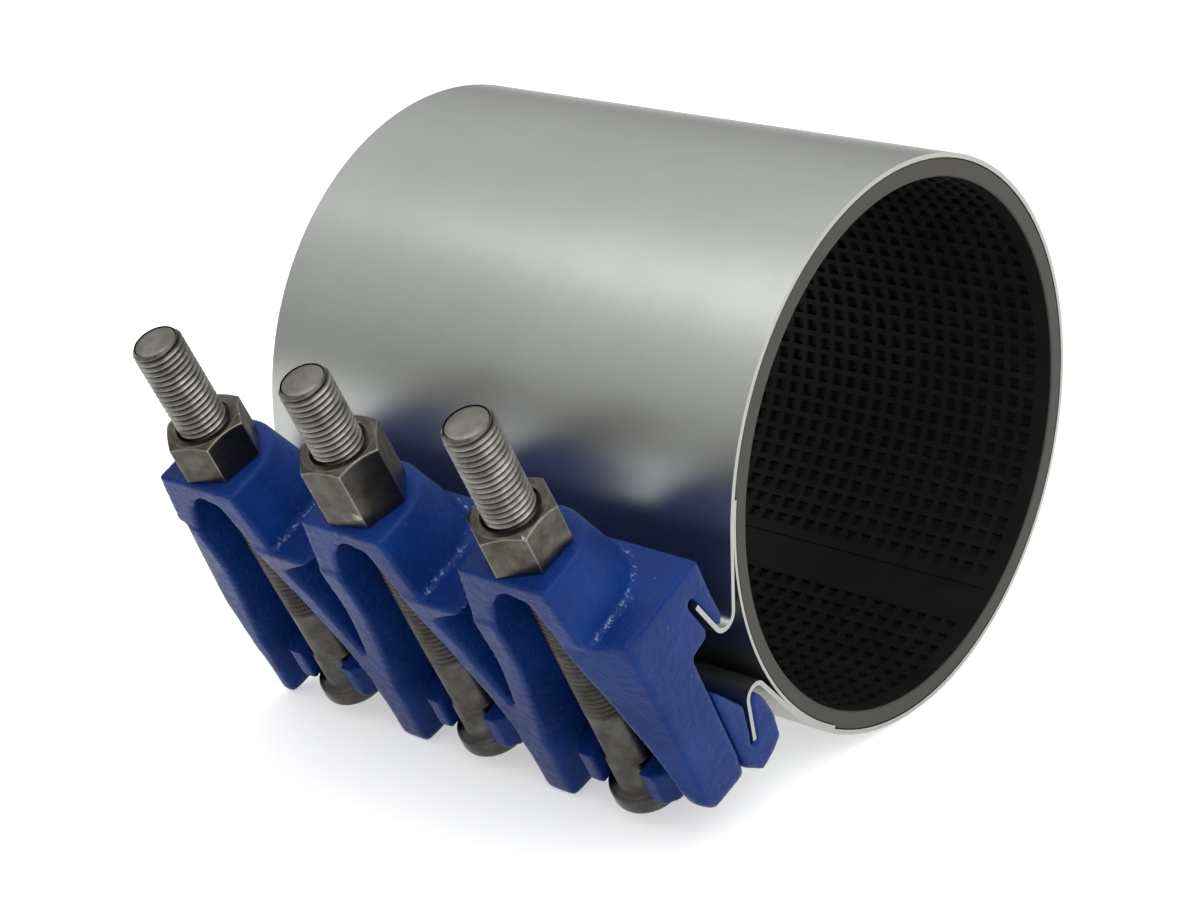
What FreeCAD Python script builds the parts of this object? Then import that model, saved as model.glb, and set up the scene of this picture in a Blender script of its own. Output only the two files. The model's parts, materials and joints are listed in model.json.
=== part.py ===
import FreeCAD, Part
import math
import os

# Pipe repair clamp, closed around a pipe by three bolts.
# Units are millimetres. The pipe runs along X; +Z is up when the clamp
# rests on its band and on the long finger tips of the upper lug.
# Everything is drawn in a bolt frame first: x along the pipe,
# n outward from the pipe axis to the bolts, u along the bolts toward
# their heads. The finished pieces are then turned about X to rest level.

os.makedirs("parts", exist_ok=True)
V = FreeCAD.Vector
XDIR = V(1, 0, 0)
NDIR = V(0, 1, 0)
UDIR = V(0, 0, 1)

# Driving dimensions.
pipe_r = 84.15
length = 190.0
gasket_gap = 0.05
shell_t = 1.5
gasket_t = 6.0
band_out = pipe_r + gasket_t + shell_t
bridge_t = 1.0

# Three bolts share the length of the band.
station_pitch = (length - 1.0) / 3
bolt_d = 16.0
bolt_off = 30.75
bolt_n = band_out + bolt_off
nut_af = 24.0
nut_h = 14.8
high_nut_h = 22.5
nut_turns = [42.7, 49.5, 34.5]
bolt_above_pad = 48.0
fit_gap = 0.3

# Band ends: centres of their folds outside the band, and their legs.
up_fold_r = 4.5
up_fold_off = 3.35
up_fold_u = -24.0
up_leg_deg = -75.4
low_fold_r = 4.0
low_fold_off = 4.55
low_fold_u = 10.6
low_leg_deg = 74.6
leg_len = 13.5

half = length / 2
shell_in = band_out - shell_t
shell_mid = band_out - shell_t / 2
bolt_r = bolt_d / 2
stations = [-station_pitch, 0.0, station_pitch]


def tangent(fold_r, off, u):
    """Straight stretch from the band's circle to a fold outside it.

    Returns the angle where it leaves the circle, measured from the
    fold's own direction, that direction and the stretch's length."""
    n = band_out + off
    far = math.hypot(n, u)
    near = shell_mid + fold_r
    turned = math.degrees(math.acos(near / far))
    return turned, math.degrees(math.atan2(u, n)), math.sqrt(far ** 2 - near ** 2)


up_open, up_dir_deg, up_straight = tangent(up_fold_r, up_fold_off, up_fold_u)
low_open, low_dir_deg, low_straight = tangent(low_fold_r, low_fold_off, low_fold_u)
up_leave = up_dir_deg - up_open
low_leave = low_dir_deg + low_open
up_turn = up_leave + 90.0 - up_leg_deg
low_turn = low_leg_deg - (low_leave - 90.0)
bridge_from = up_leave - 7.0
bridge_to = low_leave + 18.0


def face_nu(points, x0):
    pts = [V(x0, n, u) for n, u in points]
    return Part.Face(Part.makePolygon(pts + [pts[0]]))


def bar_nu(points, x0, x1):
    return face_nu(points, x0).extrude(V(x1 - x0, 0, 0))


def slab_xu(points, n0, n1):
    pts = [V(x, n0, u) for x, u in points]
    return Part.Face(Part.makePolygon(pts + [pts[0]])).extrude(V(0, n1 - n0, 0))


def box(x0, x1, n0, n1, u0, u1):
    return Part.makeBox(x1 - x0, n1 - n0, u1 - u0, V(x0, n0, u0))


def rod(r, x, n, u0, u1):
    return Part.makeCylinder(r, u1 - u0, V(x, n, u0), UDIR)


def ring(r0, r1, x0, x1):
    outer = Part.makeCylinder(r1, x1 - x0, V(x0, 0, 0), XDIR)
    return outer.cut(Part.makeCylinder(r0, x1 - x0, V(x0, 0, 0), XDIR))


def polar(r, deg):
    a = math.radians(deg)
    return (r * math.cos(a), r * math.sin(a))


def strip_sides(start, heading, moves, t):
    """Edges of a strip of thickness t that follows lines and turns.

    Returns its edges, the end point and the end heading. A positive
    turn goes from n toward u."""
    edges = []
    p = start
    h = heading
    for kind, a, b in moves:
        d = polar(1.0, h)
        left = (-d[1], d[0])
        if kind == "line":
            q = (p[0] + d[0] * a, p[1] + d[1] * a)
            for s in (t / 2, -t / 2):
                e0 = V(-half, p[0] + left[0] * s, p[1] + left[1] * s)
                e1 = V(-half, q[0] + left[0] * s, q[1] + left[1] * s)
                edges.append(Part.LineSegment(e0, e1).toShape())
            p = q
        else:
            side = 1 if a > 0 else -1
            c = (p[0] + left[0] * b * side, p[1] + left[1] * b * side)
            a0 = h - 90 * side
            for s in (t / 2, -t / 2):
                r = b - s * side
                pts = []
                for k in (0, 0.5, 1):
                    w = polar(r, a0 + a * k)
                    pts.append(V(-half, c[0] + w[0], c[1] + w[1]))
                edges.append(Part.Arc(pts[0], pts[1], pts[2]).toShape())
            w = polar(b, a0 + a)
            p = (c[0] + w[0], c[1] + w[1])
            h = h + a
    d = polar(1.0, h)
    e0 = V(-half, p[0] - d[1] * t / 2, p[1] + d[0] * t / 2)
    e1 = V(-half, p[0] + d[1] * t / 2, p[1] - d[0] * t / 2)
    edges.append(Part.LineSegment(e0, e1).toShape())
    return edges, p, h


# The band with its folded ends.
up_moves = [
    ("line", up_straight, 0),
    ("turn", -up_turn, up_fold_r),
    ("line", leg_len, 0),
]
low_moves = [
    ("line", low_straight, 0),
    ("turn", low_turn, low_fold_r),
    ("line", leg_len, 0),
]
up_start = polar(shell_mid, up_leave)
low_start = polar(shell_mid, low_leave)
up_edges, up_tip, up_head = strip_sides(up_start, up_leave + 90, up_moves, shell_t)
low_edges, low_tip, low_head = strip_sides(
    low_start, low_leave - 90, low_moves, shell_t)
ring_edges = []
for r in (shell_in, band_out):
    pts = []
    for a in (low_leave, 180 + (low_leave + up_leave) / 2, 360 + up_leave):
        w = polar(r, a)
        pts.append(V(-half, w[0], w[1]))
    ring_edges.append(Part.Arc(pts[0], pts[1], pts[2]).toShape())
loop = Part.Wire(Part.__sortEdges__(up_edges + low_edges + ring_edges))
shell = Part.Face(loop).extrude(V(length, 0, 0))


# Bridge plate over the gap of the band.
def sector(r0, r1, a0, a1, x0, x1):
    mid = (a0 + a1) / 2
    pts = []
    for r in (r0, r1):
        for a in (a0, mid, a1):
            w = polar(r, a)
            pts.append(V(x0, w[0], w[1]))
    e = [
        Part.Arc(pts[0], pts[1], pts[2]).toShape(),
        Part.LineSegment(pts[2], pts[5]).toShape(),
        Part.Arc(pts[5], pts[4], pts[3]).toShape(),
        Part.LineSegment(pts[3], pts[0]).toShape(),
    ]
    return Part.Face(Part.Wire(e)).extrude(V(x1 - x0, 0, 0))


bridge = sector(shell_in - bridge_t, shell_in, bridge_from, bridge_to, -half, half)

# The gasket's inner face is a waffle of ribs with one plain lap seam.
waffle_pitch = 12.0
waffle_rib = 2.6
waffle_deep = 1.2
plain_edge = 5.5
seam_deg = 96.5
seam_width = 17.6
bore_r = pipe_r + gasket_gap
floor_r = bore_r + waffle_deep
gasket = ring(bore_r, shell_in, -half, half).cut(bridge)
span = length - 2 * plain_edge
cells_along = round(span / waffle_pitch)
round_span = 2 * math.pi * bore_r - seam_width
cells_round = round(round_span / waffle_pitch)
cell_deg = 360.0 / (2 * math.pi * bore_r) * round_span / cells_round
ribs = []
for k in range(cells_round + 1):
    at_deg = seam_deg + math.degrees(seam_width / 2 / bore_r) + cell_deg * k
    rib = box(-half, half, bore_r - 2.0, floor_r + 0.5, -waffle_rib / 2, waffle_rib / 2)
    rib.rotate(V(0, 0, 0), XDIR, at_deg)
    ribs.append(rib)
seam_half = math.degrees(seam_width / 2 / bore_r)
ribs.append(sector(bore_r - 2.0, floor_r + 0.5, seam_deg - seam_half, seam_deg + seam_half,
                   -half, half))
for k in range(cells_along):
    x0 = -span / 2 + k * span / cells_along + (waffle_rib / 2 if k else 0.0)
    x1 = -span / 2 + (k + 1) * span / cells_along
    if k < cells_along - 1:
        x1 -= waffle_rib / 2
    pockets = ring(bore_r - 1.0, floor_r, x0, x1).cut(ribs)
    gasket = gasket.cut(pockets)

# Upper lug: its hook follows the folded end of the band.
top_u = -49.0
lug_back = band_out + 19.65
lug_front = band_out + 45.85
pad_u = top_u - 22.5
bolt_top = pad_u - bolt_above_pad
pad_t = 5.5
finger_end = 43.5
short_end = 28.5
tip_r = 12.0
channel_top = 9.5
channel_low = station_pitch / 2 - 4.4
channel_draft = 0.3
spread_to = 13.0

up_dir = polar(1.0, up_head)
up_side = (-up_dir[1], up_dir[0])


def on_up_leg(along, across):
    """Point beside the upper leg: along from its tip, across outward."""
    return (
        up_tip[0] + up_dir[0] * along + up_side[0] * across,
        up_tip[1] + up_dir[1] * along + up_side[1] * across,
    )


# The side of the leg that faces the lip of the lug.
lip_tip = on_up_leg(-leg_len, -(shell_t / 2 + 0.25))
slot_top_in = on_up_leg(3.6, -(shell_t / 2 + 0.25))
slot_top_out = on_up_leg(3.6, shell_t / 2 + 1.0)
slot_low_out = on_up_leg(-9.5, shell_t / 2 + 1.35)

# Outline of the bar that hooks over the folded end, around the pocket
# that the leg sits in.
hook = [
    (band_out + 3.65, top_u + 2.0),
    (band_out + 3.95, top_u + 13.0),
    (lip_tip[0] - 3.3, lip_tip[1] - 1.5),
    (lip_tip[0] - 1.5, lip_tip[1] + 1.2),
    lip_tip,
    slot_top_in,
    slot_top_out,
    slot_low_out,
    (slot_low_out[0] + 1.0, slot_low_out[1] + 2.6),
    (slot_low_out[0] + 3.6, slot_low_out[1] + 3.0),
    (lug_back, slot_low_out[1] + 3.4),
    (lug_back + 6.0, slot_low_out[1] + 3.4),
    (lug_back + 6.0, top_u),
    (band_out + 5.25, top_u),
]
bar = bar_nu(hook, -half, half)

# Wall of the lug in front of the bolts: its outline across the pipe.
face_drop = [3.3, 4.8, 5.2]
wall_long = [
    (lug_back, top_u),
    (lug_front, top_u),
    (lug_front - face_drop[0], top_u + 25.0),
    (lug_front - face_drop[1], top_u + 49.0),
    (lug_front - face_drop[2], finger_end - 21.5),
    (lug_front - 5.5, finger_end - 1.6),
    (lug_front - 8.0, finger_end),
    (lug_back + 5.7, finger_end),
    (lug_back, finger_end - 5.0),
]
# The last finger is shorter and rounds off sooner.
wall_short = [
    (lug_back, top_u),
    (lug_front, top_u),
    (lug_front - face_drop[0], top_u + 25.0),
    (lug_front - face_drop[1], top_u + 49.0),
    (lug_front - face_drop[2], short_end - 13.5),
    (lug_front - 7.0, short_end - 5.5),
    (lug_front - 10.5, short_end - 0.4),
    (lug_back + 1.2, short_end + 1.0),
    (lug_back, short_end),
]

# Reach of the cutting tools, inside and outside the lug.
near_n = band_out - 12.0
far_n = lug_front + 12.5


def keep_zone(x0, x1, x_tip, end_u):
    """Solid that leaves one finger below the merged ribs."""
    strip = box(x0, x1, near_n, far_n, spread_to - 1.0, end_u - tip_r)
    tip = Part.makeCylinder(tip_r, far_n - near_n, V(x_tip, near_n, end_u - tip_r), NDIR)
    tip = tip.common(box(-half, half, near_n, far_n, 0.0, end_u + 5.0))
    return strip.fuse(tip)


# Fingers spread toward their backs, where the channels are narrower.
channel_back = channel_low - channel_draft * (lug_front - lug_back)
finger_half = station_pitch / 2 - channel_back
mid_x = station_pitch / 2
rear_in = -station_pitch - channel_back
front_in = station_pitch + channel_back
zone = box(-half, half, near_n, far_n, top_u - 1.0, spread_to)
for x0, x1, x_tip in (
    (-half, rear_in, -half),
    (-mid_x - finger_half, -mid_x + finger_half, -mid_x),
    (mid_x - finger_half, mid_x + finger_half, mid_x),
):
    zone = zone.fuse(keep_zone(x0, x1, x_tip, finger_end))
wall = bar_nu(wall_long, -half, front_in).common(zone)
end_zone = box(front_in, half, near_n, far_n, top_u - 1.0, short_end + 2.0)
end_wall = bar_nu(wall_short, front_in, half).common(end_zone)
upper = bar.fuse([wall, end_wall])

# Bosses that carry the nuts.
boss_front = lug_front - 0.7


def d_wire(x, n_mid, r, u):
    p0 = V(x - r, boss_front, u)
    p1 = V(x - r, n_mid, u)
    p2 = V(x, n_mid - r, u)
    p3 = V(x + r, n_mid, u)
    p4 = V(x + r, boss_front, u)
    return Part.Wire([
        Part.LineSegment(p0, p1).toShape(),
        Part.Arc(p1, p2, p3).toShape(),
        Part.LineSegment(p3, p4).toShape(),
        Part.LineSegment(p4, p0).toShape(),
    ])


boss_low_r = 22.0
boss_top_r = 16.5
bosses = []
for x in stations:
    low = d_wire(x, bolt_n - 3.6, boss_low_r, top_u + 4.0)
    top = d_wire(x, bolt_n, boss_top_r, pad_u)
    bosses.append(Part.makeLoft([low, top], True, True))
upper = upper.fuse(bosses)

# Channels for the bolts, open to the front, with an arched top.
channel_floor = lug_back + 0.7
arch_u = pad_u + pad_t


# Height and half width of a channel at the front, and the share of the
# draft that it has there.
channel_rows = [
    (top_u - 8.7, channel_top, 0.1),
    (top_u + 1.0, channel_top + 3.3, 0.15),
    (top_u + 17.0, channel_top + 5.7, 0.3),
    (top_u + 32.0, channel_top + 9.2, 0.45),
    (top_u + 46.0, channel_top + 13.2, 0.45),
    (spread_to, channel_low, 0.95),
    (finger_end + 26.0, channel_low, 1.0),
]


def channel_outline(x, n):
    """Outline of one channel at distance n from the pipe axis."""
    right = []
    left = []
    for u, wide, share in channel_rows:
        here = wide - channel_draft * share * (lug_front - n)
        right.append(V(x + here, n, u))
        left.append(V(x - here, n, u))
    arch = [
        V(left[0].x * 0.45 + x * 0.55, n, arch_u + 1.7),
        V(x, n, arch_u),
        V(right[0].x * 0.75 + x * 0.25, n, arch_u + 1.2),
    ]
    pts = left[::-1] + arch + right
    return Part.makePolygon(pts + [pts[0]])


def channel(x, n0):
    return Part.makeLoft([channel_outline(x, n0), channel_outline(x, far_n)], True, True)


# Below the bar the channels are open right through.
below_bar = box(-half, half, near_n, far_n, slot_low_out[1] + 3.5, finger_end + 20.0)
through_n = lug_back - 1.0
for x in stations:
    upper = upper.cut(channel(x, channel_floor))
    upper = upper.cut(channel(x, through_n).common(below_bar))
    upper = upper.cut(rod(bolt_r + 1.0, x, bolt_n, pad_u - 5.0, pad_u + 20.0))

# Hollows between neighbouring ribs.
rib_out = 16.0
hollow_deep = lug_front - 16.5
hollow_mid = top_u + 19.0
hollow_half = (station_pitch - 2 * rib_out) / 2 - 4.0
hollow_out = [
    (-1.0, top_u + 8.0),
    (1.05, top_u - 4.0),
    (0.83, top_u + 18.0),
    (0.55, top_u + 33.0),
    (0.09, top_u + 52.0),
    (-0.09, top_u + 52.0),
    (-0.55, top_u + 33.0),
    (-0.83, top_u + 18.0),
]


def hollow(x):
    """Pocket between two ribs, narrower and shorter toward its floor."""
    wires = []
    for n, wide, tall in ((far_n, 1.2, 1.1), (hollow_deep, 0.5, 0.75)):
        pts = []
        for part_w, u in hollow_out:
            dx = part_w * hollow_half * wide
            pts.append(V(x + dx, n, hollow_mid + (u - hollow_mid) * tall))
        wires.append(Part.makePolygon(pts + [pts[0]]))
    return Part.makeLoft(wires, True, True)


for x in (-mid_x, mid_x):
    upper = upper.cut(hollow(x))


def end_flank(s, rows):
    """Wedge that slopes the outer corner at one end of the lug."""
    wires = []
    for u, x_rib, n_rib, n_end in rows:
        slope = (n_rib - n_end) / (half - x_rib)
        pts = [
            V(s * (x_rib - 6.0), n_rib + 6.0 * slope, u),
            V(s * (half + 4.0), n_rib + 6.0 * slope, u),
            V(s * (half + 4.0), n_end - 4.0 * slope, u),
        ]
        wires.append(Part.makePolygon(pts + [pts[0]]))
    return Part.makeLoft(wires, True, True)


rear_flank = [
    (top_u - 1.0, station_pitch + rib_out, lug_front, lug_front - 10.5),
    (top_u + 31.0, station_pitch + rib_out + 6.5, lug_front, lug_front - 7.0),
    (spread_to + 1.0, half - 2.5, lug_front, lug_front - 3.0),
    (finger_end + 1.0, half - 1.5, lug_front, lug_front - 2.5),
]
# At the other end the slope starts right at the edge of the channel.
front_flank = [
    (top_u - 1.0, station_pitch + 13.5, lug_front, lug_front - 6.5),
    (top_u + 25.0, station_pitch + 17.5, lug_front - face_drop[0], lug_front - 7.5),
    (top_u + 49.0, station_pitch + 23.5, lug_front - face_drop[1], lug_front - 8.0),
    (finger_end + 1.0, half - 3.5, lug_front - face_drop[2], lug_front - 8.0),
]
upper = upper.cut(end_flank(-1, rear_flank))
upper = upper.cut(end_flank(1, front_flank)).removeSplitter()

# Lower lug.
low_dir = polar(1.0, low_head)
low_side = (low_dir[1], -low_dir[0])


def on_low_leg(along, across):
    return (
        low_tip[0] + low_dir[0] * along + low_side[0] * across,
        low_tip[1] + low_dir[1] * along + low_side[1] * across,
    )


tine_top = 16.0
tine_low = 29.0
tine_in = 9.0
tine_out = 18.5
tine_past_bolt = 8.6
tine_reach = bolt_n + tine_past_bolt
slot_in = -(shell_t / 2 + 0.25)
low_out = lug_back - 0.45
lip_top = on_low_leg(-leg_len - 1.6, slot_in - 1.6)
low_hook = [
    (low_out, low_fold_u - 18.0),
    (low_out - 2.45, low_fold_u - 14.3),
    (low_out - 5.25, low_fold_u - 9.2),
    on_low_leg(-leg_len, shell_t / 2 + 1.1),
    on_low_leg(-6.0, shell_t / 2 + 0.5),
    on_low_leg(1.6, shell_t / 2 + 0.5),
    on_low_leg(1.6, slot_in),
    on_low_leg(-leg_len, slot_in),
    lip_top,
    (lip_top[0] - 1.6, lip_top[1] + 1.0),
    (band_out + 1.95, low_fold_u + 3.4),
    (band_out + 0.65, low_fold_u + 11.8),
    (band_out + 1.85, tine_low + 3.0),
    (low_out - 12.25, tine_low + 5.2),
    (low_out - 5.95, tine_low + 6.2),
    (low_out, tine_low - 1.4),
]
lower = bar_nu(low_hook, -half, half)

tine_nose = 4.0
tine_root = low_out - 4.8
tines = []
for x in stations:
    block = box(x - tine_out, x + tine_out, tine_root, tine_reach - tine_nose,
                tine_top, tine_low)
    nose = slab_xu([
        (x - tine_out, tine_top),
        (x + tine_out, tine_top),
        (x + tine_out, tine_low),
        (x - tine_out, tine_low),
    ], tine_reach - tine_nose, tine_reach)
    for side in (-1, 1):
        edge = x + side * tine_out
        bevel = Part.Face(Part.makePolygon([
            V(edge, tine_reach - tine_nose, tine_top - 1),
            V(edge, tine_reach + 1.0, tine_top - 1),
            V(edge - side * (tine_nose + 1.0), tine_reach + 1.0, tine_top - 1),
            V(edge, tine_reach - tine_nose, tine_top - 1),
        ])).extrude(V(0, 0, tine_low - tine_top + 2))
        nose = nose.cut(bevel)
    tines.append(block.fuse(nose))
lower = lower.fuse(tines)
# A gusset under the tines joins them to the bar.
gussets = []
for x in stations:
    gussets.append(bar_nu([
        (low_out - 6.85, tine_top),
        (low_out + 6.0, tine_top),
        (low_out, tine_top - 12.0),
        (low_out - 4.35, tine_top - 14.0),
    ], x - tine_out, x + tine_out))
lower = lower.fuse(gussets)
for x in stations:
    slot = rod(tine_in, x, bolt_n, tine_top - 16.0, tine_low + 11.0)
    mouth = box(x - tine_in, x + tine_in, bolt_n, far_n, tine_top - 16.0, tine_low + 11.0)
    lower = lower.cut(slot.fuse(mouth))
lower = lower.removeSplitter()

# Bolts.
head_r = bolt_r + 3.7
head_u = tine_low + fit_gap
head_h = 6.4
collar_r = bolt_r + 0.6


def bolt(x):
    shank = rod(bolt_r, x, bolt_n, bolt_top + 1.2, head_u)
    tip = Part.makeCone(bolt_r - 1.2, bolt_r, 1.2, V(x, bolt_n, bolt_top), UDIR)
    collar = rod(collar_r, x, bolt_n, tine_top, head_u)
    head = rod(head_r, x, bolt_n, head_u, head_u + head_h - 1.2)
    cap = Part.makeCone(head_r, head_r - 1.6, 1.2,
                        V(x, bolt_n, head_u + head_h - 1.2), UDIR)
    return shank.fuse([tip, collar, head, cap]).removeSplitter()


# Nuts.
def nut(x, high, turn):
    """Hexagon nut on its pad, chamfered on top and bored for the bolt."""
    seat = pad_u - fit_gap
    r = nut_af / 2 / math.cos(math.radians(30))
    pts = []
    for k in range(7):
        w = polar(r, turn + 60 * k)
        pts.append(V(x + w[0], bolt_n + w[1], seat))
    body = Part.Face(Part.makePolygon(pts)).extrude(V(0, 0, -high))
    drop = (r - nut_af / 2 + 0.6) * math.tan(math.radians(30))
    body = body.common(rod(r + 1.0, x, bolt_n, seat - high, seat).cut(
        Part.makeCylinder(r + 2.0, drop, V(x, bolt_n, seat - high), UDIR).cut(
            Part.makeCone(nut_af / 2 - 0.6, r, drop,
                          V(x, bolt_n, seat - high), UDIR))))
    bore = rod(bolt_r + 0.05, x, bolt_n, seat - high - 1, seat + 1)
    sink = 1.1
    dish = Part.makeCone(bolt_r + 0.05 + sink, bolt_r + 0.05, sink,
                         V(x, bolt_n, seat - high), UDIR)
    return body.cut(bore.fuse(dish))


bolts = [bolt(x) for x in stations]
nuts = [
    nut(stations[0], nut_h, nut_turns[0]),
    nut(stations[1], high_nut_h, nut_turns[1]),
    nut(stations[2], nut_h, nut_turns[2]),
]

# Resting position: the finger tips and the bottom of the band touch the
# ground together.
rest = None
for n, u in wall_long[2:8]:
    reach = math.hypot(n, u)
    own = math.degrees(math.atan2(u, n))
    phi = 180.0 + math.degrees(math.asin(band_out / reach)) - own
    if rest is None or phi < rest:
        rest = phi

pieces = {
    "shell_band": shell,
    "gasket": gasket,
    "bridge_plate": bridge,
    "upper_lug": upper,
    "lower_lug": lower,
    "bolt_1": bolts[0],
    "bolt_2": bolts[1],
    "bolt_3": bolts[2],
    "nut_1": nuts[0],
    "nut_2": nuts[1],
    "nut_3": nuts[2],
}
for name, shape in pieces.items():
    placed = shape.copy()
    placed.rotate(V(0, 0, 0), XDIR, rest)
    placed.exportStep("parts/" + name + ".step")
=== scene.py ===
import bpy
import json
import math
from mathutils import Matrix, Vector


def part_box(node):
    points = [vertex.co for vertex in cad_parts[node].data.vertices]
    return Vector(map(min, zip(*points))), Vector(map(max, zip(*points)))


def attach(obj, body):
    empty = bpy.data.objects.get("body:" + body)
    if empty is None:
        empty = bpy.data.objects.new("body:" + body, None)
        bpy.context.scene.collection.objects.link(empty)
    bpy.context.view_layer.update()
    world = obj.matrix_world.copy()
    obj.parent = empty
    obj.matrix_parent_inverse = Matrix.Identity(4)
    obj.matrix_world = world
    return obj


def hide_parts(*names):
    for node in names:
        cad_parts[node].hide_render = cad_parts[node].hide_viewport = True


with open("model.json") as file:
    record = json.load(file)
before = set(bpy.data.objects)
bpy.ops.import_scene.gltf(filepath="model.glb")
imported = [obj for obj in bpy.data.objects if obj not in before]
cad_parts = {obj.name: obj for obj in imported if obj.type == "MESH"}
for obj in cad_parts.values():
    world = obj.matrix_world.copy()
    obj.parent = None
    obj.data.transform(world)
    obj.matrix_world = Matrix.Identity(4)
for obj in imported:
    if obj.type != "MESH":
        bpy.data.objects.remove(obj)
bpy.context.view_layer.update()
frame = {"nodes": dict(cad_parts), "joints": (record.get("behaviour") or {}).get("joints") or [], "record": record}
nodes = frame["nodes"]
scene = bpy.context.scene

# Bolt frame: x along the pipe, n outward to the bolts, u along the bolts
# toward their heads. REST turns it into the row frame. All sizes are metres.
joints = {j["name"]: j for j in frame["joints"]}
U = Vector(joints["bolt_2_drop"]["axis"]).normalized()
N = Vector((0, U.z, -U.y))
REST = math.atan2(N.z, N.y)
UP = -U
EX = Vector((1, 0, 0))
EY = UP.cross(EX)

# Band and gasket.
HALF = 0.095
BORE_R = 0.0842
SHELL_IN = 0.09015
BAND_OUT = 0.09165
BRIDGE_T = 0.001

# Bolts: heights run from the origin toward the nuts.
STATION_PITCH = 0.063
STATIONS = {"1": -STATION_PITCH, "2": 0.0, "3": STATION_PITCH}
BOLT_N = 0.1224
BOLT_R = 0.008
ROOT_R = 0.0068
THREAD_PITCH = 0.002
THREAD_FROM = 0.004
BOLT_END = 0.1195


def mesh_object(name, verts, faces, smooth=True):
    me = bpy.data.meshes.new(name)
    me.from_pydata([tuple(v) for v in verts], [], faces)
    me.update()
    ob = bpy.data.objects.new(name, me)
    scene.collection.objects.link(ob)
    me.polygons.foreach_set("use_smooth", [smooth] * len(me.polygons))
    return ob


def shade_smooth(ob):
    ob.data.polygons.foreach_set("use_smooth", [True] * len(ob.data.polygons))


def apply_modifiers(ob):
    dg = bpy.context.evaluated_depsgraph_get()
    me = bpy.data.meshes.new_from_object(ob.evaluated_get(dg))
    ob.modifiers.clear()
    ob.data = me


# Materials

class Nodes:
    """A material with short calls for the nodes that the finishes use."""

    def __init__(self, name):
        self.mat = bpy.data.materials.new(name)
        self.mat.use_nodes = True
        self.nt = self.mat.node_tree
        self.bsdf = self.nt.nodes["Principled BSDF"]
        self.tc = self.nt.nodes.new("ShaderNodeTexCoord")

    def link(self, a, b):
        self.nt.links.new(a, b)

    def coords(self, scale):
        mp = self.nt.nodes.new("ShaderNodeMapping")
        mp.inputs["Scale"].default_value = scale
        self.link(self.tc.outputs["Object"], mp.inputs["Vector"])
        return mp.outputs["Vector"]

    def noise(self, scale, detail, rough, stretch=(1, 1, 1)):
        t = self.nt.nodes.new("ShaderNodeTexNoise")
        t.inputs["Scale"].default_value = scale
        t.inputs["Detail"].default_value = detail
        t.inputs["Roughness"].default_value = rough
        self.link(self.coords(stretch), t.inputs["Vector"])
        return t.outputs["Fac"]

    def cells(self, scale, stretch):
        t = self.nt.nodes.new("ShaderNodeTexVoronoi")
        t.inputs["Scale"].default_value = scale
        self.link(self.coords(stretch), t.inputs["Vector"])
        return t.outputs["Distance"]

    def math(self, op, a, b=0.0, c=0.0):
        m = self.nt.nodes.new("ShaderNodeMath")
        m.operation = op
        for k, v in enumerate((a, b, c)):
            if isinstance(v, (float, int)):
                m.inputs[k].default_value = v
            else:
                self.link(v, m.inputs[k])
        return m.outputs[0]

    def dot(self, vec, const):
        d = self.nt.nodes.new("ShaderNodeVectorMath")
        d.operation = "DOT_PRODUCT"
        self.link(vec, d.inputs[0])
        d.inputs[1].default_value = tuple(const)
        return d.outputs["Value"]

    def pointed(self):
        geo = self.nt.nodes.new("ShaderNodeNewGeometry")
        return geo.outputs["Pointiness"]

    def ramp(self, fac, low, high):
        """Colour between two stops, each a position and a colour."""
        r = self.nt.nodes.new("ShaderNodeValToRGB")
        for e, (pos, col) in zip(r.color_ramp.elements, (low, high)):
            e.position = pos
            e.color = tuple(col) + (1,)
        self.link(fac, r.inputs["Fac"])
        return r.outputs["Color"]

    def spread(self, fac, a, b, f0=0.0, f1=1.0):
        """Runs from a to b while fac runs from f0 to f1."""
        m = self.nt.nodes.new("ShaderNodeMapRange")
        m.inputs["From Min"].default_value = f0
        m.inputs["From Max"].default_value = f1
        m.inputs["To Min"].default_value = a
        m.inputs["To Max"].default_value = b
        self.link(fac, m.inputs["Value"])
        return m.outputs["Result"]

    def mix(self, fac, under, over):
        """Lays the plain colour over on top, as far as fac says."""
        m = self.nt.nodes.new("ShaderNodeMix")
        m.data_type = "RGBA"
        self.link(fac, m.inputs[0])
        self.link(under, m.inputs[6])
        m.inputs[7].default_value = tuple(over) + (1,)
        return m.outputs[2]

    def bump(self, height, strength, distance, under=None):
        b = self.nt.nodes.new("ShaderNodeBump")
        b.inputs["Strength"].default_value = strength
        b.inputs["Distance"].default_value = distance
        self.link(height, b.inputs["Height"])
        if under is not None:
            self.link(under, b.inputs["Normal"])
        return b.outputs["Normal"]

    def finish(self, color, rough, normal, metallic=0.0):
        self.link(color, self.bsdf.inputs["Base Color"])
        self.link(rough, self.bsdf.inputs["Roughness"])
        self.link(normal, self.bsdf.inputs["Normal"])
        self.bsdf.inputs["Metallic"].default_value = metallic
        return self.mat


def shade(tint, share):
    return tuple(c * share for c in tint)


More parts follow.
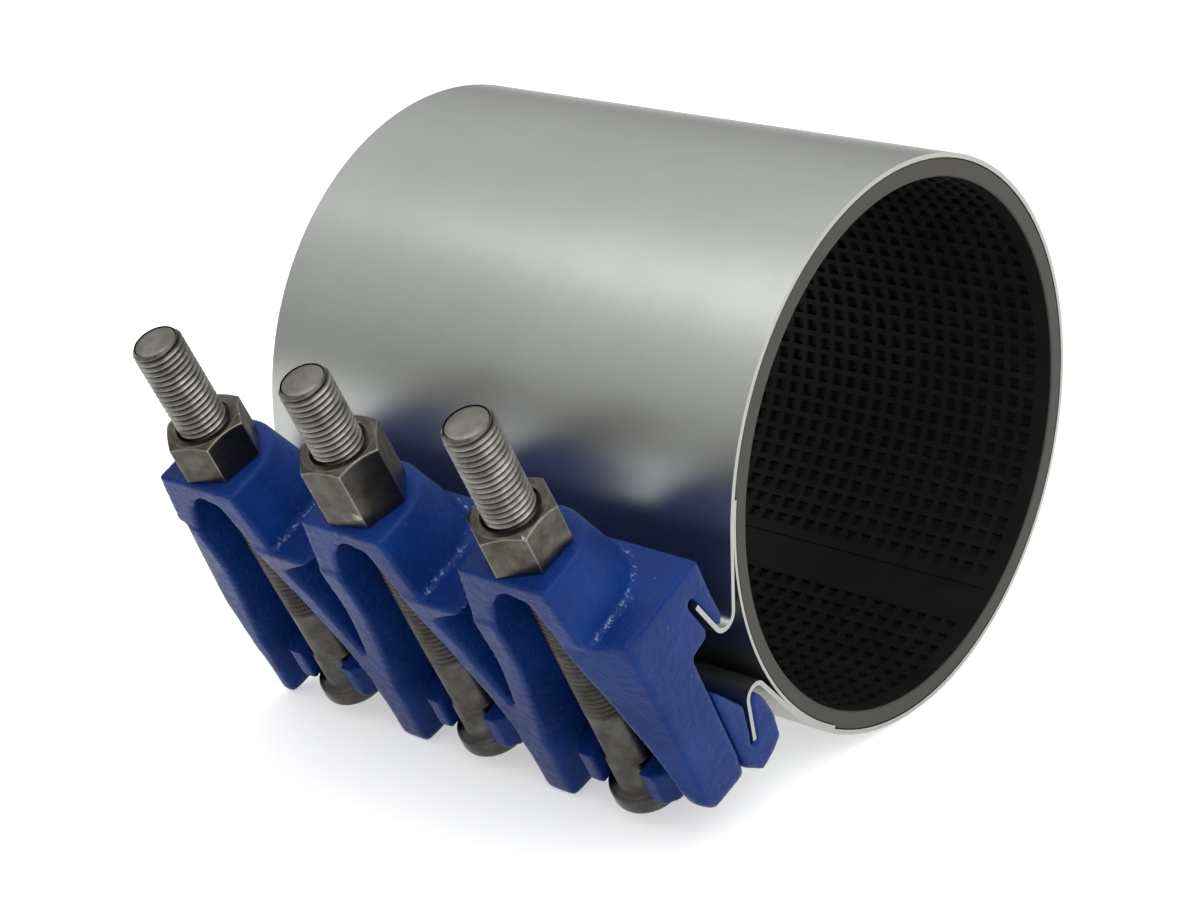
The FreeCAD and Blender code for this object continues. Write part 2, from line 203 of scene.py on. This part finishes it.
def sheet_steel(name, tint):
    """Mill-finish stainless sheet: soft clouds, faint marks, bright cut edges."""
    s = Nodes(name)
    cloud = s.noise(9.0, 3.0, 0.55)
    fine = s.noise(70.0, 4.0, 0.6)
    marks = s.noise(26.0, 5.0, 0.62, (34.0, 1.0, 1.0))
    col = s.ramp(cloud, (0.32, shade(tint, 0.90)), (0.66, tint))
    col = s.mix(s.spread(fine, 0.0, 0.22, 0.45, 0.8), col, shade(tint, 0.72))
    scuff = s.cells(55.0, (2.2, 0.5, 0.5))
    spot = s.spread(scuff, 1.0, 0.0, 0.0, 0.035)
    col = s.mix(s.math("MULTIPLY", spot, 0.35), col, shade(tint, 0.45))
    # The sheared edge of the sheet is brighter than its faces.
    side = s.math("ABSOLUTE", s.dot(s.tc.outputs["Normal"], (1, 0, 0)))
    cut = s.spread(side, 0.0, 1.0, 0.9, 0.97)
    col = s.mix(cut, col, (0.40, 0.42, 0.385))
    rough = s.math("ADD", s.spread(marks, 0.265, 0.305), s.math("MULTIPLY", fine, 0.06))
    n = s.bump(marks, 0.025, 0.0003)
    n = s.bump(cloud, 0.10, 0.0012, n)
    return s.finish(col, rough, n, 1.0)


def cast_paint():
    """Deep blue coating on rough cast iron."""
    s = Nodes("lug_paint")
    cloud = s.noise(45.0, 4.0, 0.55)
    col = s.ramp(cloud, (0.28, (0.0040, 0.0200, 0.124)), (0.75, (0.0062, 0.0400, 0.205)))
    peel = s.noise(330.0, 4.0, 0.6)
    grain = s.noise(1100.0, 3.0, 0.65)
    # Pale specks of rough coating all over, and painted glints: pale specks along the inner fillets that stand in
    # for sparkles of light.
    speck = s.noise(620.0, 2.0, 0.7)
    dust = s.spread(speck, 0.0, 0.5, 0.70, 0.80)
    inner = s.spread(s.pointed(), 1.0, 0.0, 0.470, 0.492)
    # Painted glints: pale specks only where the surface is concave, in the fillets.
    fillet_glint = s.math("MULTIPLY", s.spread(speck, 0.0, 0.9, 0.55, 0.62), inner)
    col = s.mix(s.math("MAXIMUM", dust, fillet_glint), col, (0.20, 0.30, 0.48))
    s.bsdf.inputs["Specular IOR Level"].default_value = 0.12
    rough = s.spread(peel, 0.22, 0.40, 0.3, 0.7)
    n = s.bump(peel, 0.55, 0.0007)
    n = s.bump(grain, 0.35, 0.00025, n)
    return s.finish(col, rough, n)


def zinc(name, base, dull, rough, wear):
    """Dull zinc with darker patches; the thread roots get painted shade."""
    s = Nodes(name)
    cloud = s.noise(150.0, 5.0, 0.62)
    col = s.ramp(cloud, (0.34, dull), (0.66, base))
    # Distance from the nearest bolt axis, for the painted shade in the roots of the thread.
    obj = s.tc.outputs["Object"]
    x = s.math("WRAP", s.dot(obj, (1, 0, 0)), STATION_PITCH / 2, -STATION_PITCH / 2)
    n = s.math("SUBTRACT", s.dot(obj, N), BOLT_N)
    r = s.math("SQRT", s.math("ADD", s.math("MULTIPLY", x, x), s.math("MULTIPLY", n, n)))
    u = s.dot(obj, U)
    on_thread = s.math("LESS_THAN", u, -0.0045)
    # Painted shade: the thread is darkened to nearly black toward its root radius.
    root_shade = s.spread(r, 1.0, 0.0, 0.00695, 0.00775)
    root_shade = s.math("MULTIPLY", root_shade, s.math("GREATER_THAN", r, 0.0066))
    root_shade = s.math("MULTIPLY", root_shade, on_thread)
    col = s.mix(s.math("MULTIPLY", root_shade, 0.92), col, (0.016, 0.014, 0.012))
    # Below the nut, down in the lug's channel, the bolt is darkened with painted shade. It is never worn bright.
    low = s.spread(u, 0.0, 1.0, -0.071, -0.066)
    col = s.mix(s.math("MULTIPLY", low, 0.78), col, (0.022, 0.020, 0.018))
    # Edges that a wrench rubs are brighter.
    if wear:
        worn = s.spread(s.pointed(), 0.0, wear, 0.508, 0.56)
        col = s.mix(worn, col, tuple(min(1.0, c) for c in shade(base, 3.2)))
    # The turned end of the bolt is duller than its thread.
    end = s.spread(u, 1.0, 0.0, -0.1193, -0.1188)
    col = s.mix(s.math("MULTIPLY", end, 0.55), col, dull)
    ro = s.spread(cloud, rough + 0.10, rough - 0.08)
    return s.finish(col, ro, s.bump(cloud, 0.18, 0.0003), 1.0)


def rubber():
    """Black rubber; the cut ends are a lighter grey."""
    s = Nodes("gasket_rubber")
    cloud = s.noise(90.0, 4.0, 0.6)
    col = s.ramp(cloud, (0.3, (0.0045,) * 3), (0.75, (0.0085,) * 3))
    x = s.math("ABSOLUTE", s.dot(s.tc.outputs["Object"], (1, 0, 0)))
    # The end faces of the ring are made a lighter grey than the rest.
    end = s.spread(x, 0.0, 1.0, HALF - 0.0006, HALF - 0.0002)
    col = s.mix(end, col, (0.066, 0.062, 0.056))
    s.bsdf.inputs["Specular IOR Level"].default_value = 0.22
    return s.finish(col, s.spread(cloud, 0.48, 0.66), s.bump(cloud, 0.2, 0.0004))


MAT = {
    "band_steel": sheet_steel("band_steel", (0.47, 0.485, 0.465)),
    "bridge_steel": sheet_steel("bridge_steel", (0.45, 0.46, 0.45)),
    "lug_paint": cast_paint(),
    "bolt_zinc": zinc("bolt_zinc", (0.36, 0.35, 0.33), (0.15, 0.14, 0.125), 0.32, 0.0),
    "nut_zinc": zinc("nut_zinc", (0.118, 0.108, 0.092), (0.046, 0.041, 0.034), 0.30, 1.0),
    "gasket_rubber": rubber(),
}


def set_material(ob, slot):
    ob.data.materials.clear()
    ob.data.materials.append(MAT[slot])


def paint(ob, slot):
    set_material(ob, slot)


for s in frame["record"]["subparts"]:
    set_material(nodes[s["node"]], s["material_slot"])


# Castings and nuts

def smooth_by(ob, name, rounds):
    sm = ob.modifiers.new(name, "SMOOTH")
    sm.factor = 0.5
    sm.iterations = rounds
    return sm


def soft_copy(name, node, body, slot, voxel, rounds, most, tips=None):
    """A copy of a drawn piece with the soft edges and fillets of the real one.

    It keeps at most about that many triangles. Beyond the height tips along
    the bolts the ends are rounded off more."""
    ob = bpy.data.objects.new(name, nodes[node].data.copy())
    scene.collection.objects.link(ob)
    rm = ob.modifiers.new("remesh", "REMESH")
    rm.mode = "VOXEL"
    rm.voxel_size = voxel
    rm.adaptivity = 0.0
    apply_modifiers(ob)
    smooth_by(ob, "smooth", rounds)
    if tips is not None:
        blend = 0.008
        group = ob.vertex_groups.new(name="tips")
        for v in ob.data.vertices:
            share = (v.co.dot(U) - tips) / blend
            if share > 0:
                group.add([v.index], min(share, 1.0), "REPLACE")
        smooth_by(ob, "tips", rounds * 4).vertex_group = "tips"
    apply_modifiers(ob)
    ob.vertex_groups.clear()
    tris = sum(len(p.vertices) - 2 for p in ob.data.polygons)
    if tris > most:
        dm = ob.modifiers.new("decimate", "DECIMATE")
        dm.ratio = most / tris
        apply_modifiers(ob)
    # Every point stays inside the drawn piece's own box.
    a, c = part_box(node)
    for v in ob.data.vertices:
        v.co = Vector(min(max(v.co[k], a[k]), c[k]) for k in range(3))
    shade_smooth(ob)
    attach(ob, body)
    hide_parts(node)
    paint(ob, slot)


casting_voxel = 0.0008
upper_rounds = 9
lower_rounds = 7
nut_voxel = 0.0003
nut_rounds = 3
soft_copy("upper_casting", "upper_lug", "clamp", "lug_paint",
          casting_voxel, upper_rounds, most=185000, tips=0.020)
soft_copy("lower_casting", "lower_lug", "clamp", "lug_paint",
          casting_voxel, lower_rounds, most=130000)
for k in STATIONS:
    soft_copy("nut_%s_rounded" % k, "nut_" + k, "nut_" + k, "nut_zinc",
              nut_voxel, nut_rounds, most=32000)


# Bolts

def lathe(name, profile, steps, centre):
    """Closed body of revolution; profile holds (radius, height) pairs."""
    verts, faces = [], []
    for r, h in profile:
        for k in range(steps):
            t = 2 * math.pi * k / steps
            verts.append(centre + UP * h + (EX * math.cos(t) + EY * math.sin(t)) * r)
    for i in range(len(profile) - 1):
        for k in range(steps):
            a, c = i * steps + k, i * steps + (k + 1) % steps
            faces.append((a, c, c + steps, a + steps))
    faces.append(tuple(reversed(range(steps))))
    last = (len(profile) - 1) * steps
    faces.append(tuple(range(last, last + steps)))
    return mesh_object(name, verts, faces)


def thread(name, centre, steps):
    """Right-handed thread as one skin that follows its own helix."""
    # One turn of its profile, as shares of the pitch and the radii there.
    shoulder = BOLT_R - 0.00004
    rows = [0.0, 0.12, 0.42, 0.50, 0.58, 0.88]
    radii = [ROOT_R, ROOT_R, shoulder, BOLT_R, shoulder, ROOT_R]
    # The last turns fade into the end chamfer, the first into the shank.
    fade, slope = 0.0016, 0.75
    sunk, lead_in = 0.0006, 0.0002
    cols = (int((BOLT_END - THREAD_FROM) / THREAD_PITCH) + 2) * len(rows)
    verts, faces = [], []
    for c in range(cols):
        base = (c // len(rows) + rows[c % len(rows)] - 1) * THREAD_PITCH
        for k in range(steps):
            t = 2 * math.pi * k / steps
            h = THREAD_FROM + base + THREAD_PITCH * k / steps
            r = radii[c % len(rows)]
            edge = BOLT_END - h
            if edge < fade:
                r = min(r, BOLT_R - (fade - max(edge, 0)) * slope)
            if h < THREAD_FROM:
                r = BOLT_R - sunk
            h = min(max(h, THREAD_FROM - lead_in), BOLT_END)
            verts.append(centre + UP * h + (EX * math.cos(t) + EY * math.sin(t)) * r)
    for c in range(cols - 1):
        for k in range(steps - 1):
            a = c * steps + k
            faces.append((a, a + 1, a + 1 + steps, a + steps))
        # The end of each turn joins the start of the next.
        a = c * steps + steps - 1
        nxt = (c + len(rows)) * steps
        if c + len(rows) + 1 < cols:
            faces.append((a, nxt, nxt + steps, a + steps))
    return mesh_object(name, verts, faces)


# Head with rounded rim, collar and plain shank.
SHANK = [
    (0.00002, -0.0357), (0.0098, -0.0357), (0.0108, -0.0355), (0.0115, -0.0349),
    (0.0117, -0.0340), (0.0117, -0.0303), (0.0115, -0.0296), (0.0110, -0.0293),
    (0.0086, -0.0293), (0.0086, -0.0170), (0.0084, -0.0163), (0.0079, -0.0160),
    (0.0079, 0.0030), (0.0076, 0.0042), (0.0069, 0.0048), (0.00002, 0.0048),
]

# Body inside the thread, up to the turned end.
CORE = [
    (0.00002, 0.0030), (0.0067, 0.0030), (0.0067, 0.1188), (0.0066, 0.1192),
    (0.0062, 0.1194), (0.0045, BOLT_END), (0.00002, BOLT_END),
]


def threaded_bolt(key):
    centre = Vector((STATIONS[key], 0, 0)) + N * BOLT_N
    helix = thread("bolt_%s_thread" % key, centre, 56)
    shank = lathe("bolt_%s_shank" % key, SHANK, 64, centre)
    core = lathe("bolt_%s_core" % key, CORE, 56, centre)
    for o in (helix, shank, core):
        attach(o, "bolt_" + key)
        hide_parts("bolt_" + key)
        paint(o, "bolt_zinc")


for key in STATIONS:
    threaded_bolt(key)


# Gasket

def bridge_ends():
    """Angles of the bridge plate's ends, measured on its drawn piece."""
    angles = []
    for v in nodes["bridge_plate"].data.vertices:
        a = math.degrees(math.atan2(v.co.z, v.co.y) - REST) % 360
        angles.append(a - 360 if a > 180 else a)
    return min(angles) % 360, max(angles)


def waffle_gasket():
    """Ring whose inner face is a waffle of square pockets.

    Every second rib lies on a rib of the drawn gasket."""
    bridge_from, bridge_to = bridge_ends()
    border = 0.0055
    seam_mid = math.radians(96.5)
    seam = 0.0176 / BORE_R
    nx, na = 30, 86
    depth = 0.0014
    rib, wall = 0.17, 0.22
    # Where each pocket's rims and floor lie, as shares of its cell. The
    # number beside each share is 1 on the floor and 0 on the ribs.
    cell = ((rib, 0), (wall, 1), (1 - wall, 1), (1 - rib, 0))
    x_edge = HALF - border
    xs = [(-HALF, 0), (-HALF, 0), (-HALF + 0.0005, 0)]
    for i in range(nx):
        for share, sunk in cell:
            xs.append((-x_edge + 2 * x_edge * (i + share) / nx, sunk))
    xs += [(HALF - 0.0005, 0), (HALF, 0), (HALF, 0)]
    start = REST + seam_mid + seam / 2
    turns = []
    for j in range(na):
        for share, sunk in cell:
            turns.append((start + (2 * math.pi - seam) * (j + share) / na, sunk))
    # The seam band, with a small step where the lap ends.
    lap = start - seam + seam * 0.80
    lap_step = 0.35
    turns += [
        (start - seam, 0), (start - seam * 0.5, 0),
        (lap - 0.001, 0), (lap, lap_step), (lap + 0.004, 0),
    ]
    rows = len(turns)
    verts, faces = [], []
    # The rims at both ends are rounded over two rows.
    edge_r = {0: 0.0010, 1: 0.0005}
    for ix, (x, dx) in enumerate(xs):
        back = min(ix, len(xs) - 1 - ix)
        for t, dt in turns:
            if dt in (0, 1):
                d = depth * dx * dt
            else:
                d = depth * dt * (1 if back > 2 else 0)
            r = BORE_R + (edge_r[back] if back in edge_r else d)
            verts.append(Vector((x, r * math.cos(t), r * math.sin(t))))
    for ix in range(len(xs) - 1):
        for j in range(rows):
            a, c = ix * rows + j, ix * rows + (j + 1) % rows
            faces.append((a, c, c + rows, a + rows))
    # Outer face with rounded rims and the recess that the bridge plate lies in.
    rim = 0.0006
    n_in = len(verts)
    outs = [(-HALF, rim), (-HALF + rim, 0.0), (HALF - rim, 0.0), (HALF, rim)]
    for x, inset in outs:
        for t, d in turns:
            a = math.degrees(t - REST) % 360
            recess = BRIDGE_T if (a > bridge_from or a < bridge_to) else 0.0
            r = SHELL_IN - inset - recess
            verts.append(Vector((x, r * math.cos(t), r * math.sin(t))))
    for i in range(len(outs) - 1):
        for j in range(rows):
            a, c = n_in + i * rows + j, n_in + i * rows + (j + 1) % rows
            faces.append((a, a + rows, c + rows, c))
    last = (len(xs) - 1) * rows
    far = n_in + (len(outs) - 1) * rows
    for j in range(rows):
        k = (j + 1) % rows
        faces.append((j, n_in + j, n_in + k, k))
        faces.append((last + j, last + k, far + k, far + j))
    ob = mesh_object("gasket_waffle", verts, faces, smooth=False)
    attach(ob, "clamp")
    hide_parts("gasket")
    paint(ob, "gasket_rubber")


waffle_gasket()


# Band and bridge plate

for name in ("shell_band", "bridge_plate"):
    ob = nodes[name]
    shade_smooth(ob)
    es = ob.modifiers.new("edges", "EDGE_SPLIT")
    es.split_angle = math.radians(28)


# Stage

# White where the camera, metal or glass sees the floor, which keeps the
# object's shadow.
FLOOR_GLOW = 0.45
bpy.ops.mesh.primitive_plane_add(size=8, location=(0, 0, -BAND_OUT - 0.0002))
floor = bpy.context.object
floor.name = "floor"
fm = Nodes("floor")
fm.bsdf.inputs["Base Color"].default_value = (0.86, 0.86, 0.86, 1)
fm.bsdf.inputs["Roughness"].default_value = 0.9
fm.bsdf.inputs["Specular IOR Level"].default_value = 0.0
path = fm.nt.nodes.new("ShaderNodeLightPath")
seen = fm.math("MAXIMUM", path.outputs["Is Camera Ray"], path.outputs["Is Glossy Ray"])
seen = fm.math("MAXIMUM", seen, path.outputs["Is Transmission Ray"])
glow = fm.nt.nodes.new("ShaderNodeEmission")
glow.inputs["Color"].default_value = (1, 1, 1, 1)
fm.link(fm.math("MULTIPLY", seen, FLOOR_GLOW), glow.inputs["Strength"])
both = fm.nt.nodes.new("ShaderNodeAddShader")
fm.link(fm.bsdf.outputs[0], both.inputs[0])
fm.link(glow.outputs[0], both.inputs[1])
fm.link(both.outputs[0], fm.nt.nodes["Material Output"].inputs["Surface"])
floor.data.materials.append(fm.mat)

# Plain studio light: bright from above, darker toward the horizon.
world = bpy.data.worlds.new("studio")
scene.world = world
world.use_nodes = True
wn = world.node_tree
tc = wn.nodes.new("ShaderNodeTexCoord")
sep = wn.nodes.new("ShaderNodeSeparateXYZ")
wn.links.new(tc.outputs["Generated"], sep.inputs[0])
sky = wn.nodes.new("ShaderNodeMapRange")
sky.inputs["From Min"].default_value = 0.0
sky.inputs["From Max"].default_value = 0.75
sky.inputs["To Min"].default_value = 0.34
sky.inputs["To Max"].default_value = 0.92
wn.links.new(sep.outputs["Z"], sky.inputs["Value"])
wn.nodes["Background"].inputs["Color"].default_value = (1.0, 1.0, 1.0, 1)
wn.links.new(sky.outputs["Result"], wn.nodes["Background"].inputs["Strength"])


def area(name, loc, size, power):
    """Square lamp of that width, turned to the middle of the clamp."""
    li = bpy.data.lights.new(name, "AREA")
    li.shape = "RECTANGLE"
    li.size = size
    li.size_y = size
    li.energy = power
    ob = bpy.data.objects.new(name, li)
    ob.location = loc
    ob.rotation_euler = (-Vector(loc)).to_track_quat("-Z", "Y").to_euler()
    scene.collection.objects.link(ob)


area("key", (1.25, -0.40, 1.20), 2.0, 17)
area("fill", (-0.60, -0.50, 1.40), 0.9, 1.9)

# Camera, fitted to the photograph in a frame turned 210.4 degrees from the
# bolt frame.
turn = Matrix.Rotation(REST % (2 * math.pi) - math.radians(210.4), 4, "X")
cam_data = bpy.data.cameras.new("camera")
cam_data.sensor_width = 36.0
cam_data.lens = 76.25
cam_data.clip_start = 0.01
cam = bpy.data.objects.new("camera", cam_data)
scene.collection.objects.link(cam)
place = Matrix((
    (0.76326, -0.19670, 0.61542, 0.50643),
    (0.64608, 0.23432, -0.72641, -0.63450),
    (-0.00132, 0.95205, 0.30593, 0.24038),
    (0.0, 0.0, 0.0, 1.0),
))
cam.matrix_world = turn @ place
scene.camera = cam

scene.view_settings.view_transform = "Standard"
